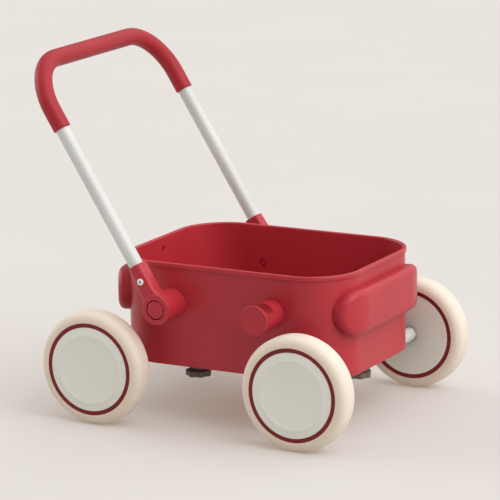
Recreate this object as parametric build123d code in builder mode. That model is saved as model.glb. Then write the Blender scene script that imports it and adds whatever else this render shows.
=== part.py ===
from build123d import *
from math import asin, atan2, cos, degrees, hypot, pi, radians, sin
import os

os.makedirs("parts", exist_ok=True)

# Toddler's push wagon: a moulded tub on two axle tubes and four wheels, with a folding push handle.
# Millimetres. +X is forward, +Y is left, +Z is up. The origin is on the floor, under the middle of the
# overall length. "left" and "right" are the wagon's own.

# ---------------------------------------------------------------- driving dimensions
# Wheels
wheel_radius = 75.0
wheel_width = 35.4
wheelbase = 297.0
wheel_beside_tub = 27.0  # inner face of each wheel, out from the tub's wall
rim_radius = 61.4  # outside of the rim, where the tyre sits
rim_lip = 5.6  # ring of the rim that shows round each cover
tyre_shoulder = 9.5
rim_shell = 3.0
cover_skirt = 6.0
cover_thickness = 1.8
cover_crest_radius = 49.5
cover_crest = 1.2  # how far the crest stands out of the wheel's face
cover_dish = 1.4  # how far the dish's centre lies behind the wheel's face
cover_dish_radius = 46.5
cover_dish_edge = 0.84  # how far the dish's edge lies behind the wheel's face
cover_dish_flat = 1.26  # the same, halfway to the edge
web_thickness = 4.0
wheel_hub_radius = 12.0
bush_radius = 7.0
bush_bearing = 1.0  # of the bush's flange on the end of the axle tube
bush_flange = 1.5
bush_inset = 8.4  # outer end of the bush behind the wheel's face

# Tub
tub_length = 329.8
tub_width = 252.0
tub_corner = 66.2
tub_height = 136.5
tub_above_axles = 1.0  # foot of the tub above the axles' middle
tub_wall = 4.2
tub_draft = 1.2  # how much each inner wall leans in from rim to floor
tub_ahead = 15.6  # the tub's middle, ahead of the middle of the wheelbase
bead_proud = 1.8
bead_height = 5.0
bead_round = 2.4
floor_rise = 24.0  # above the tub's foot
floor_thickness = 4.0
floor_round = 9.0

# Plug of the small hole high in the rear wall
plug_y = 4.0
plug_below_rim = 16.0
plug_radius = 2.0
plug_head_radius = 3.6
plug_head = 1.2
plug_recess = 2.0

# Bumpers
bumper_height = 58.6
bumper_thickness = 15.4
bumper_rise = 85.2  # middle above the tub's foot
bumper_wrap = 39.2  # angle that each bumper reaches round a corner
bumper_round = 8.5
bumper_screw_radius = 1.6
bumper_screw_head = 2.4
bumper_screw_recess = 2.2
bumper_screw_bite = 9.0
bumper_screw_inset = 14.0  # top screw below the bumper's upper edge
bumper_screw_y = 45.0

# Handle
handle_lean = 31.9  # angle back from the vertical
handle_reach = 357.0  # pivot to crossbar
handle_bend = 67.0
tube_radius = 9.5
tube_wall = 1.5
grip_wall = 2.25  # round the tube
grip_start = 263.6  # along the tube from the pivot
grip_end_round = 1.6
pivot_behind = 57.0  # behind the middle of the wheelbase
pivot_above_wheels = 10.0  # above the top of the tyres

# Handle arms and pivots
hub_radius = 20.0
hub_length = 20.9
head_step = 1.2  # that the head stands out of the neck, each side
hub_edge = 0.8
head_edge_round = 1.5
socket_wall = 1.2  # each side of the tube
socket_past_head = 7.0  # start of the socket, along the tube from the head's edge
socket_length = 36.0
socket_flat = 0.3  # left between the socket's outer rounds and its middle, at the mouth
socket_back_round = 4.5
neck_front_round = 5.0
neck_back_round = 4.5
neck_fillet = 20.0
neck_room = 1.0  # between the neck's fillets and the socket
socket_depth = 37.0
spigot_radius = 8.0
button_radius = 12.3
button_travel = 3.0
button_wall = 1.8
button_depth = 8.0
button_edge = 0.6
button_proud = 0.2
button_flange_radius = 13.3
button_flange = 1.2
press_room = 1.0  # left under the button's skirt when it is pressed home
well_lip = 4.1  # depth of the narrow mouth that keeps the button in
spring_radius = 8.2
spring_wire = 0.6
spring_turns = 4
bolt_radius = 3.0
bolt_head_radius = 5.0
bolt_head_length = 5.5
bolt_socket_radius = 2.9
bolt_socket_depth = 2.5
washer_radius = 10.0
washer_thickness = 1.2
nut_radius = 5.8
nut_height = 4.4
bolt_past_nut = 1.0
clamp_screw_up = 14.0  # from the start of the socket
clamp_screw_radius = 2.0
clamp_screw_length = 8.0
clamp_head_radius = 4.5
clamp_head_recess = 0.8
clamp_head_proud = 1.2
clamp_socket_radius = 1.6

# Pegs that hold the folded handle
peg_radius = 19.5  # flange at the outer end
peg_shaft_radius = 18.2
peg_flange = 4.0
peg_behind_axle = 60.5  # behind the front axle
peg_rise = 1.5  # above the handle's pivots
peg_wall = 4.5  # from the channel to the peg's face
peg_seat = 1.2  # bottom of the channel above the peg's middle
peg_bevel = 1.2
peg_screw_radius = 2.5
peg_screw_length = 14.0
peg_screw_head_length = 5.0

# Axle tubes, knobs and their bosses
axle_radius = 4.0
axle_head_radius = 7.5
axle_head = 3.0
tube_into_wheel = 2.0
plug_length = 28.0
arm_cap_thickness = 2.0
arm_cap_plug = 8.0
side_knob_ahead = -44.5
side_knob_y = 82.5
frame_arm_past_knob = 15.0
frame_arm_room = 3.0  # in the ribs, ahead of each arm's cap
knob_radius = 17.2
knob_lobes = 7
knob_lobe_radius = 4.8
knob_thickness = 8.0
knob_collar_radius = 9.0
knob_collar = 3.4
knob_floor = 2.0
stud_radius = 3.0
stud_short = 1.0  # of its insert's upper end
insert_radius = 4.5
insert_below_floor = 1.1
insert_into_floor = 1.0
boss_radius = 11.0
rib_width = 3.0
saddle_half_length = 20.0
saddle_rib_spacing = 36.0
arm_rib_spacing = 45.0

# Clearances
running_gap = 0.05  # radial, between a pin and what turns on it
face_gap = 0.3  # between faces that slide past each other
seat_gap = 0.1  # between pieces that are pressed or laid together
channel_gap = 0.7  # each side of the folded tube in its channel
button_gap = 0.7
cover_gap = 0.7  # between an inner cover and the axle tube in it
stud_hole_gap = 0.3
screw_room = 1.0  # past a screw's end, in its hole
socket_room = 1.0  # past the handle tube's end, in its socket

# ---------------------------------------------------------------- places worked out from them
lean = radians(handle_lean)
grip_radius = tube_radius + grip_wall
front_reach = wheelbase / 2 + wheel_radius
rear_reach = pivot_behind + handle_reach * sin(lean) + grip_radius
wheelbase_x = (rear_reach - front_reach) / 2  # middle of the wheelbase, from the origin
front_axle_x = wheelbase_x + wheelbase / 2
rear_axle_x = wheelbase_x - wheelbase / 2
axle_z = wheel_radius
tub_x = wheelbase_x + tub_ahead
tub_bottom = axle_z + tub_above_axles
rim_top = tub_bottom + tub_height
floor_top = tub_bottom + floor_rise
plug_height = rim_top - plug_below_rim
bumper_middle = tub_bottom + bumper_rise
pivot_x = wheelbase_x - pivot_behind
pivot_z = 2 * wheel_radius + pivot_above_wheels
peg_x = front_axle_x - peg_behind_axle
peg_height = pivot_z + peg_rise
side_knob_x = wheelbase_x + side_knob_ahead
wall_y = tub_width / 2
floor_bottom = floor_top - floor_thickness
wheel_inner_y = wall_y + wheel_beside_tub
wheel_outer_y = wheel_inner_y + wheel_width

socket_half = tube_radius + seat_gap + socket_wall
socket_width = 2 * socket_half
arm_thickness = socket_width + 2 * head_step
hub_face_y = wall_y + seat_gap + hub_length
arm_inner_y = hub_face_y + face_gap
arm_outer_y = arm_inner_y + arm_thickness
handle_half_width = arm_inner_y + arm_thickness / 2
well_depth = (
    button_depth - button_proud + button_travel + press_room + washer_thickness + face_gap
)

# The neck's fillets end short of the socket, whatever the sizes of head and tube.
socket_outer_y = handle_half_width + socket_half
socket_start = hub_radius + socket_past_head
socket_front_round = socket_half - socket_flat
arm_length = socket_start + socket_length
clamp_screw_at = socket_start + clamp_screw_up
neck_end = socket_start - neck_room
neck_limit = (neck_end**2 + socket_half**2 - hub_radius**2) / (2 * (hub_radius - socket_half))
neck_round = min(neck_fillet, neck_limit)

# The folded tube lies on the floor of the peg's channel, and that sets its slope.
docked_rise = peg_height + peg_seat + tube_radius + face_gap - pivot_z
docked_run = peg_x - pivot_x
docked_angle = degrees(atan2(docked_rise, docked_run))

SIDES = (("left", 1), ("right", -1))
CORNERS = (
    ("front_left", front_axle_x, 1),
    ("front_right", front_axle_x, -1),
    ("rear_left", rear_axle_x, 1),
    ("rear_right", rear_axle_x, -1),
)
KNOBS = (
    ("front", front_axle_x, 0),
    ("left", side_knob_x, side_knob_y),
    ("right", side_knob_x, -side_knob_y),
)


def side_plane(side, y):
    """Plane parallel to XZ at a distance y from the mid-plane; sketches on it use X and Z."""
    return Plane.XZ.offset(-side * y)


def axle_plane(x, z, side):
    """Half-section plane of a piece round a crosswise axis: x runs outwards, y is the radius."""
    return Plane(origin=(x, 0, z), x_dir=(0, side, 0), z_dir=(side, 0, 0))


def arm_plane(side, y):
    """Plane of a handle arm at a distance y from the mid-plane: x is across it, y along its tube."""
    return Plane(
        origin=(pivot_x, side * y, pivot_z), x_dir=(cos(lean), 0, sin(lean)), z_dir=(0, -1, 0)
    )


def cross_axis(x, z):
    """Crosswise axis through x, z."""
    return Axis((x, 0, z), (0, 1, 0))


# Plane of the handle: x is crosswise, y runs from the pivots up to the crossbar.
handle_plane = Plane(
    origin=(pivot_x, 0, pivot_z),
    x_dir=(0, 1, 0),
    z_dir=(cos(lean), 0, sin(lean)),
)


def socket_plane(at):
    """Plane across both sockets at a distance along the tube: x is crosswise."""
    return Plane(
        origin=handle_plane.from_local_coords((0, at, 0)),
        x_dir=(0, 1, 0),
        z_dir=(-sin(lean), 0, cos(lean)),
    )


def on_socket(edge, at):
    """True for an edge that lies in the socket plane at that distance along the tube."""
    return abs(socket_plane(at).to_local_coords(edge @ 0.5).Z) < 0.01


# ---------------------------------------------------------------- tub
inner_length = tub_length - 2 * tub_wall
inner_width = tub_width - 2 * tub_wall
inner_corner = tub_corner - tub_wall
groove_radius = tube_radius + seat_gap
plug_seat_x = tub_x - inner_length / 2 - plug_recess
bumper_screw_places = (  # distance from the mid-plane, height
    (0.0, bumper_middle + bumper_height / 2 - bumper_screw_inset),
    (bumper_screw_y, bumper_middle - bumper_height / 4),
    (-bumper_screw_y, bumper_middle - bumper_height / 4),
)

with BuildPart() as bucket:
    with BuildSketch(Plane.XY.offset(tub_bottom)):
        with Locations((tub_x, 0)):
            RectangleRounded(tub_length, tub_width, tub_corner)
    extrude(amount=rim_top - tub_bottom)
    with BuildSketch(Plane.XY.offset(rim_top - bead_height)):
        with Locations((tub_x, 0)):
            RectangleRounded(
                tub_length + 2 * bead_proud, tub_width + 2 * bead_proud, tub_corner + bead_proud
            )
    extrude(amount=bead_height)
    # Inside, with draft from the floor to the rim
    with BuildSketch(Plane.XY.offset(floor_top)):
        with Locations((tub_x, 0)):
            RectangleRounded(
                inner_length - 2 * tub_draft, inner_width - 2 * tub_draft, inner_corner - tub_draft
            )
    with BuildSketch(Plane.XY.offset(rim_top)):
        with Locations((tub_x, 0)):
            RectangleRounded(inner_length, inner_width, inner_corner)
    loft(mode=Mode.SUBTRACT)
    fillet(bucket.edges().group_by(Axis.Z)[-1], radius=bead_round)
    floor_edges = bucket.faces().filter_by(Axis.Z).filter_by(
        lambda f: abs(f.center().Z - floor_top) < 0.01
    ).edges()
    fillet(floor_edges, radius=floor_round)
    # Hollow under the floor
    with BuildSketch(Plane.XY.offset(tub_bottom)):
        with Locations((tub_x, 0)):
            RectangleRounded(inner_length, inner_width, inner_corner)
    extrude(amount=floor_bottom - tub_bottom, mode=Mode.SUBTRACT)
    # Ribs and bosses that sit on the axle tubes
    with BuildSketch(Plane.XY.offset(tub_bottom)):
        with Locations((front_axle_x, 0), (rear_axle_x + saddle_half_length, 0)):
            with GridLocations(0, saddle_rib_spacing, 1, 6):
                Rectangle(2 * saddle_half_length, rib_width)
        for _, x, y in KNOBS:
            with Locations((x, y)):
                Circle(boss_radius)
                Rectangle(rib_width, 4 * boss_radius)
                Rectangle(4 * boss_radius, rib_width)
        with Locations(*[(side_knob_x - arm_rib_spacing, y) for y in (-side_knob_y, side_knob_y)]):
            Rectangle(rib_width, 4 * boss_radius)
        with Locations((tub_x, 0)):
            RectangleRounded(inner_length, inner_width, inner_corner, mode=Mode.INTERSECT)
    extrude(amount=floor_bottom - tub_bottom)
    # Half-round seats for the front tube, the rear tube and the rear frame's two arms
    with BuildSketch(Plane.XZ):
        with Locations((front_axle_x, axle_z), (rear_axle_x, axle_z)):
            Circle(groove_radius)
    extrude(amount=wheel_inner_y, both=True, mode=Mode.SUBTRACT)
    with BuildSketch(Plane.YZ.offset(rear_axle_x)):
        with Locations((side_knob_y, axle_z), (-side_knob_y, axle_z)):
            Circle(groove_radius)
    extrude(
        amount=side_knob_x + frame_arm_past_knob + arm_cap_thickness + frame_arm_room - rear_axle_x,
        mode=Mode.SUBTRACT,
    )
    # Seats of the threaded inserts, up into the bosses
    with BuildSketch(Plane.XY.offset(tub_bottom)):
        with Locations(*[(x, y) for _, x, y in KNOBS]):
            Circle(insert_radius + seat_gap)
    extrude(amount=floor_bottom - tub_bottom + insert_into_floor, mode=Mode.SUBTRACT)
    # Recessed holes of the pivot bolts and peg screws, through the side walls
    with BuildSketch(Plane.XZ):
        with Locations((pivot_x, pivot_z), (peg_x, peg_height)):
            Circle(bolt_head_radius + face_gap)
    extrude(amount=tub_width, both=True, mode=Mode.SUBTRACT)
    # Holes of the bumper screws, recessed from the inside of both end walls
    with BuildSketch(Plane.YZ.offset(tub_x)):
        with Locations(*bumper_screw_places):
            Circle(bumper_screw_radius + seat_gap)
    extrude(amount=tub_length, both=True, mode=Mode.SUBTRACT)
    with BuildSketch(Plane.YZ.offset(tub_x)):
        with Locations(*bumper_screw_places):
            Circle(bumper_screw_head + seat_gap)
    extrude(amount=inner_length / 2 + bumper_screw_recess, both=True, mode=Mode.SUBTRACT)
    # Hole of the plug, recessed from the inside
    with BuildSketch(Plane.YZ.offset(plug_seat_x)):
        with Locations((plug_y, plug_height)):
            Circle(plug_radius + seat_gap)
    extrude(amount=-tub_wall, mode=Mode.SUBTRACT)
    with BuildSketch(Plane.YZ.offset(plug_seat_x)):
        with Locations((plug_y, plug_height)):
            Circle(plug_head_radius + face_gap)
    extrude(amount=tub_wall, mode=Mode.SUBTRACT)
bucket.part.label = "bucket"
export_step(bucket.part, "parts/bucket.step")

with BuildPart() as wall_plug:
    with BuildSketch(Plane.YZ.offset(plug_seat_x)):
        with Locations((plug_y, plug_height)):
            Circle(plug_head_radius)
    extrude(amount=plug_head)
    fillet(wall_plug.edges().group_by(Axis.X)[-1], radius=plug_head / 2)
    with BuildSketch(Plane.YZ.offset(plug_seat_x)):
        with Locations((plug_y, plug_height)):
            Circle(plug_radius)
    extrude(amount=plug_recess - tub_wall)
wall_plug.part.label = "wall_plug"
export_step(wall_plug.part, "parts/wall_plug.step")

# ---------------------------------------------------------------- bumpers
corner_y = wall_y - tub_corner
bumper_outer_corner = tub_corner + seat_gap + bumper_thickness
pill_radius = bumper_height / 2
pill_angle = bumper_wrap - degrees(asin(pill_radius / (tub_corner + bumper_thickness / 2)))

for place, end in (("front", 1), ("rear", -1)):
    corner_x = tub_x + end * (tub_length / 2 - tub_corner)
    outer_x = tub_x + end * (tub_length / 2 + seat_gap + bumper_thickness)
    with BuildPart() as bumper:
        with BuildSketch(Plane.XY.offset(bumper_middle - pill_radius)):
            with Locations((tub_x, 0)):
                RectangleRounded(
                    tub_length + 2 * (seat_gap + bumper_thickness),
                    tub_width + 2 * (seat_gap + bumper_thickness),
                    bumper_outer_corner,
                )
                RectangleRounded(
                    tub_length + 2 * seat_gap,
                    tub_width + 2 * seat_gap,
                    tub_corner + seat_gap,
                    mode=Mode.SUBTRACT,
                )
            with Locations((corner_x - end * tub_length, 0)):
                Rectangle(2 * tub_length, 2 * tub_width, mode=Mode.SUBTRACT)
        extrude(amount=bumper_height)
        # Round ends, cut square to the corner's radius
        for side in (1, -1):
            radial = Vector(end * cos(radians(pill_angle)), side * sin(radians(pill_angle)), 0)
            along = Vector(-end * sin(radians(pill_angle)), side * cos(radians(pill_angle)), 0)
            end_plane = Plane(
                origin=(corner_x, side * corner_y, bumper_middle), x_dir=along, z_dir=radial
            )
            with BuildSketch(end_plane):
                with Locations((tub_corner, 0)):
                    Rectangle(2 * tub_corner, 2 * bumper_height)
                Circle(pill_radius, mode=Mode.SUBTRACT)
            extrude(amount=2 * tub_corner, mode=Mode.SUBTRACT)
        outline = bumper.edges().filter_by(
            lambda e: abs((e @ 0.5).Z - (e @ 0).Z) < 0.01 or e.geom_type != GeomType.LINE
        )
        outside = outline.filter_by(
            lambda e: (
                abs((e @ 0.5).X - outer_x) < 0.01
                or abs(
                    hypot((e @ 0.5).X - corner_x, abs((e @ 0.5).Y) - corner_y)
                    - bumper_outer_corner
                )
                < 0.01
            )
        )
        fillet(outside, radius=bumper_round)
        with BuildSketch(Plane.YZ.offset(tub_x)):
            with Locations(*bumper_screw_places):
                Circle(bumper_screw_radius + seat_gap)
        extrude(
            amount=tub_length / 2 + bumper_screw_bite + screw_room,
            dir=(end, 0, 0),
            mode=Mode.SUBTRACT,
        )
    bumper.part.label = f"{place}_bumper"
    export_step(bumper.part, f"parts/{place}_bumper.step")

with BuildPart() as bumper_screws:
    for end in (1, -1):
        head_x = tub_x + end * (inner_length / 2)
        with BuildSketch(Plane.YZ.offset(head_x + end * face_gap)):
            with Locations(*bumper_screw_places):
                Circle(bumper_screw_head)
        extrude(amount=bumper_screw_recess - face_gap, dir=(end, 0, 0))
        with BuildSketch(Plane.YZ.offset(head_x + end * bumper_screw_recess)):
            with Locations(*bumper_screw_places):
                Circle(bumper_screw_radius)
        extrude(amount=tub_wall - bumper_screw_recess + bumper_screw_bite, dir=(end, 0, 0))
bumper_screws.part.label = "bumper_screws"
export_step(bumper_screws.part, "parts/bumper_screws.step")

# ---------------------------------------------------------------- handle pivots
# A hub stands on each side wall. Its spigot is the bearing of the handle's arm, and a bolt from
# inside the tub holds hub, arm, washer and nut together.
hub_recess = bolt_head_length + face_gap
well_floor_y = arm_outer_y - well_depth
spigot_end_y = well_floor_y + face_gap
washer_top_y = spigot_end_y + washer_thickness
lip_y = arm_outer_y - well_lip
button_face_y = arm_outer_y + button_proud
nut_top_y = washer_top_y + nut_height

for side_name, side in SIDES:
    with BuildPart() as hub:
        with BuildSketch(axle_plane(pivot_x, pivot_z, side)):
            with BuildLine():
                Polyline(
                    (wall_y + seat_gap, bolt_head_radius + face_gap),
                    (wall_y + seat_gap, hub_radius),
                    (hub_face_y, hub_radius),
                    (hub_face_y, spigot_radius),
                    (spigot_end_y, spigot_radius),
                    (spigot_end_y, bolt_radius + seat_gap),
                    (wall_y + hub_recess, bolt_radius + seat_gap),
                    (wall_y + hub_recess, bolt_head_radius + face_gap),
                    close=True,
                )
            make_face()
        revolve(axis=cross_axis(pivot_x, pivot_z))
        hub_edges = hub.edges().filter_by(lambda e: abs(e.length - 2 * pi * hub_radius) < 0.1)
        chamfer(hub_edges, length=hub_edge)
    hub.part.label = f"pivot_hub_{side_name}"
    export_step(hub.part, f"parts/pivot_hub_{side_name}.step")

    with BuildPart() as pivot_bolt:
        with BuildSketch(side_plane(side, wall_y + hub_recess)):
            with Locations((pivot_x, pivot_z)):
                Circle(bolt_head_radius)
        extrude(amount=bolt_head_length, dir=(0, -side, 0))
        with BuildSketch(side_plane(side, wall_y + hub_recess - bolt_head_length)):
            with Locations((pivot_x, pivot_z)):
                RegularPolygon(bolt_socket_radius, 6)
        extrude(amount=bolt_socket_depth, dir=(0, side, 0), mode=Mode.SUBTRACT)
        with BuildSketch(side_plane(side, wall_y + hub_recess)):
            with Locations((pivot_x, pivot_z)):
                Circle(bolt_radius)
        extrude(amount=nut_top_y + bolt_past_nut - wall_y - hub_recess, dir=(0, side, 0))
    pivot_bolt.part.label = f"pivot_bolt_{side_name}"
    export_step(pivot_bolt.part, f"parts/pivot_bolt_{side_name}.step")

    with BuildPart() as pivot_nut:
        with BuildSketch(side_plane(side, spigot_end_y)):
            with Locations((pivot_x, pivot_z)):
                Circle(washer_radius)
                Circle(bolt_radius + seat_gap, mode=Mode.SUBTRACT)
        extrude(amount=washer_thickness, dir=(0, side, 0))
        with BuildSketch(side_plane(side, washer_top_y)):
            with Locations((pivot_x, pivot_z)):
                RegularPolygon(nut_radius, 6)
                Circle(bolt_radius + seat_gap, mode=Mode.SUBTRACT)
        extrude(amount=nut_height, dir=(0, side, 0))
    pivot_nut.part.label = f"pivot_nut_{side_name}"
    export_step(pivot_nut.part, f"parts/pivot_nut_{side_name}.step")

# ---------------------------------------------------------------- docking pegs
# The folded handle's tube drops into the peg's open channel. The channel's floor is round and leans
# with the folded tube.
channel_radius = tube_radius + channel_gap
peg_face = handle_half_width + channel_radius + peg_wall
docked = radians(docked_angle)
peg_recess = peg_screw_head_length + face_gap

for side_name, side in SIDES:
    channel_plane = Plane(
        origin=(peg_x, side * handle_half_width, pivot_z + docked_rise),
        x_dir=(0, 1, 0),
        z_dir=(cos(docked), 0, sin(docked)),
    )
    with BuildPart() as peg:
        with BuildSketch(side_plane(side, wall_y + seat_gap)):
            with Locations((peg_x, peg_height)):
                Circle(peg_shaft_radius)
        extrude(amount=peg_face - wall_y - seat_gap, dir=(0, side, 0))
        with BuildSketch(side_plane(side, peg_face)):
            with Locations((peg_x, peg_height)):
                Circle(peg_radius)
        extrude(amount=peg_flange, dir=(0, -side, 0))
        chamfer(peg.faces().sort_by(Axis.Y)[-1 if side > 0 else 0].edges(), length=peg_bevel)
        with BuildSketch(channel_plane):
            with Locations((0, channel_radius - tube_radius - face_gap)):
                Circle(channel_radius)
            with Locations((0, channel_radius - tube_radius - face_gap + peg_radius)):
                Rectangle(2 * channel_radius, 2 * peg_radius)
        extrude(amount=2 * peg_radius, both=True, mode=Mode.SUBTRACT)
        with BuildSketch(side_plane(side, wall_y)):
            with Locations((peg_x, peg_height)):
                Circle(bolt_head_radius + face_gap)
        extrude(amount=peg_recess, dir=(0, side, 0), mode=Mode.SUBTRACT)
        with BuildSketch(side_plane(side, wall_y)):
            with Locations((peg_x, peg_height)):
                Circle(peg_screw_radius + seat_gap)
        extrude(amount=peg_recess + peg_screw_length + screw_room, dir=(0, side, 0), mode=Mode.SUBTRACT)
    peg.part.label = f"peg_{side_name}"
    export_step(peg.part, f"parts/peg_{side_name}.step")

with BuildPart() as peg_screws:
    for _, side in SIDES:
        with BuildSketch(side_plane(side, wall_y + peg_recess)):
            with Locations((peg_x, peg_height)):
                Circle(bolt_head_radius)
        extrude(amount=peg_screw_head_length, dir=(0, -side, 0))
        with BuildSketch(side_plane(side, wall_y + peg_recess)):
            with Locations((peg_x, peg_height)):
                Circle(peg_screw_radius)
        extrude(amount=peg_screw_length, dir=(0, side, 0))
peg_screws.part.label = "peg_screws"
export_step(peg_screws.part, "parts/peg_screws.step")

# ---------------------------------------------------------------- axle tubes
tube_end_y = wheel_inner_y + tube_into_wheel
inner_tube_radius = tube_radius - tube_wall
frame_arm_end_x = side_knob_x + frame_arm_past_knob

with BuildPart() as front_axle_tube:
    with BuildSketch(Plane.XZ):
        with Locations((front_axle_x, axle_z)):
            Circle(tube_radius)
            Circle(inner_tube_radius, mode=Mode.SUBTRACT)
    extrude(amount=tube_end_y, both=True)
    with BuildSketch(Plane.XY.offset(axle_z)):
        with Locations((front_axle_x, 0)):
            Circle(stud_radius + stud_hole_gap)
    extrude(amount=2 * tube_radius, both=True, mode=Mode.SUBTRACT)
front_axle_tube.part.label = "front_axle_tube"
export_step(front_axle_tube.part, "parts/front_axle_tube.step")

# The rear tube has two arms welded to it, which run forward to the side knobs.
with BuildPart() as rear_axle_frame:
    with BuildSketch(Plane.XZ):
        with Locations((rear_axle_x, axle_z)):
            Circle(tube_radius)
    extrude(amount=tube_end_y, both=True)
    with BuildSketch(Plane.YZ.offset(rear_axle_x)):
        with Locations((side_knob_y, axle_z), (-side_knob_y, axle_z)):
            Circle(tube_radius)
    extrude(amount=frame_arm_end_x - rear_axle_x)
    with BuildSketch(Plane.XZ):
        with Locations((rear_axle_x, axle_z)):
            Circle(inner_tube_radius)
    extrude(amount=tube_end_y, both=True, mode=Mode.SUBTRACT)
    with BuildSketch(Plane.YZ.offset(rear_axle_x + tube_radius)):
        with Locations((side_knob_y, axle_z), (-side_knob_y, axle_z)):
            Circle(inner_tube_radius)
    extrude(amount=frame_arm_end_x - rear_axle_x, mode=Mode.SUBTRACT)
    with BuildSketch(Plane.XY.offset(axle_z)):
        with Locations((side_knob_x, side_knob_y), (side_knob_x, -side_knob_y)):
            Circle(stud_radius + stud_hole_gap)
    extrude(amount=2 * tube_radius, both=True, mode=Mode.SUBTRACT)
rear_axle_frame.part.label = "rear_axle_frame"
export_step(rear_axle_frame.part, "parts/rear_axle_frame.step")

with BuildPart() as frame_arm_caps:
    with BuildSketch(Plane.YZ.offset(frame_arm_end_x)):
        with Locations((side_knob_y, axle_z), (-side_knob_y, axle_z)):
            Circle(tube_radius)
    extrude(amount=arm_cap_thickness)
    with BuildSketch(Plane.YZ.offset(frame_arm_end_x)):
        with Locations((side_knob_y, axle_z), (-side_knob_y, axle_z)):
            Circle(inner_tube_radius - seat_gap)
    extrude(amount=-arm_cap_plug)
frame_arm_caps.part.label = "frame_arm_caps"
export_step(frame_arm_caps.part, "parts/frame_arm_caps.step")

# ---------------------------------------------------------------- star knobs
knob_top_z = axle_z - tube_radius - seat_gap
knob_face_z = knob_top_z - knob_collar
knob_bottom_z = knob_face_z - knob_thickness
insert_bottom_z = axle_z + groove_radius + face_gap
insert_length = floor_bottom - insert_below_floor - insert_bottom_z
stud_reach = insert_length - stud_short

for knob_name, x, y in KNOBS:
    with BuildPart() as star_knob:
        with BuildSketch(Plane.XY.offset(knob_bottom_z)):
            with Locations((x, y)):
                Circle(knob_radius - knob_lobe_radius / 2)
                with PolarLocations(knob_radius - knob_lobe_radius, knob_lobes):
                    Circle(knob_lobe_radius)
        extrude(amount=knob_thickness)
        with BuildSketch(Plane.XY.offset(knob_face_z)):
            with Locations((x, y)):
                Circle(knob_collar_radius)
        extrude(amount=knob_collar)
        with BuildSketch(Plane.XY.offset(knob_top_z)):
            with Locations((x, y)):
                Circle(stud_radius + seat_gap)
        extrude(amount=-(knob_collar + knob_thickness - knob_floor), mode=Mode.SUBTRACT)
    star_knob.part.label = f"star_knob_{knob_name}"
    export_step(star_knob.part, f"parts/star_knob_{knob_name}.step")

    with BuildPart() as knob_stud:
        with BuildSketch(Plane.XY.offset(knob_bottom_z + knob_floor)):
            with Locations((x, y)):
                Circle(stud_radius)
        extrude(amount=insert_bottom_z + stud_reach - knob_bottom_z - knob_floor)
    knob_stud.part.label = f"knob_stud_{knob_name}"
    export_step(knob_stud.part, f"parts/knob_stud_{knob_name}.step")

with BuildPart() as threaded_inserts:
    with BuildSketch(Plane.XY.offset(insert_bottom_z)):
        with Locations(*[(x, y) for _, x, y in KNOBS]):
            Circle(insert_radius)
            Circle(stud_radius + running_gap, mode=Mode.SUBTRACT)
    extrude(amount=insert_length)
threaded_inserts.part.label = "threaded_inserts"
export_step(threaded_inserts.part, "parts/threaded_inserts.step")

# ---------------------------------------------------------------- handle
with BuildPart() as handle_tube:
    with BuildLine(handle_plane) as tube_path:
        FilletPolyline(
            (handle_half_width, arm_length - socket_depth + socket_room),
            (handle_half_width, handle_reach),
            (-handle_half_width, handle_reach),
            (-handle_half_width, arm_length - socket_depth + socket_room),
            radius=handle_bend,
        )
    with BuildSketch(Plane(origin=tube_path.line @ 0, z_dir=tube_path.line % 0)):
        Circle(tube_radius)
        Circle(inner_tube_radius, mode=Mode.SUBTRACT)
    sweep()
    for _, side in SIDES:
        with BuildSketch(arm_plane(side, handle_half_width)):
            with Locations((0, clamp_screw_at)):
                Circle(clamp_screw_radius + seat_gap)
        extrude(amount=2 * tube_radius, dir=(0, side, 0), mode=Mode.SUBTRACT)
handle_tube.part.label = "handle_tube"
export_step(handle_tube.part, "parts/handle_tube.step")

with BuildPart() as handle_grip:
    with BuildLine(handle_plane) as grip_path:
        FilletPolyline(
            (handle_half_width, grip_start),
            (handle_half_width, handle_reach),
            (-handle_half_width, handle_reach),
            (-handle_half_width, grip_start),
            radius=handle_bend,
        )
    with BuildSketch(Plane(origin=grip_path.line @ 0, z_dir=grip_path.line % 0)):
        Circle(grip_radius)
        Circle(tube_radius + seat_gap, mode=Mode.SUBTRACT)
    sweep()
    grip_ends = handle_grip.faces().filter_by(GeomType.PLANE).edges().filter_by(
        lambda e: e.length > 2 * pi * (tube_radius + grip_radius) / 2
    )
    fillet(grip_ends, radius=grip_end_round)
handle_grip.part.label = "handle_grip"
export_step(handle_grip.part, "parts/handle_grip.step")

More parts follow.
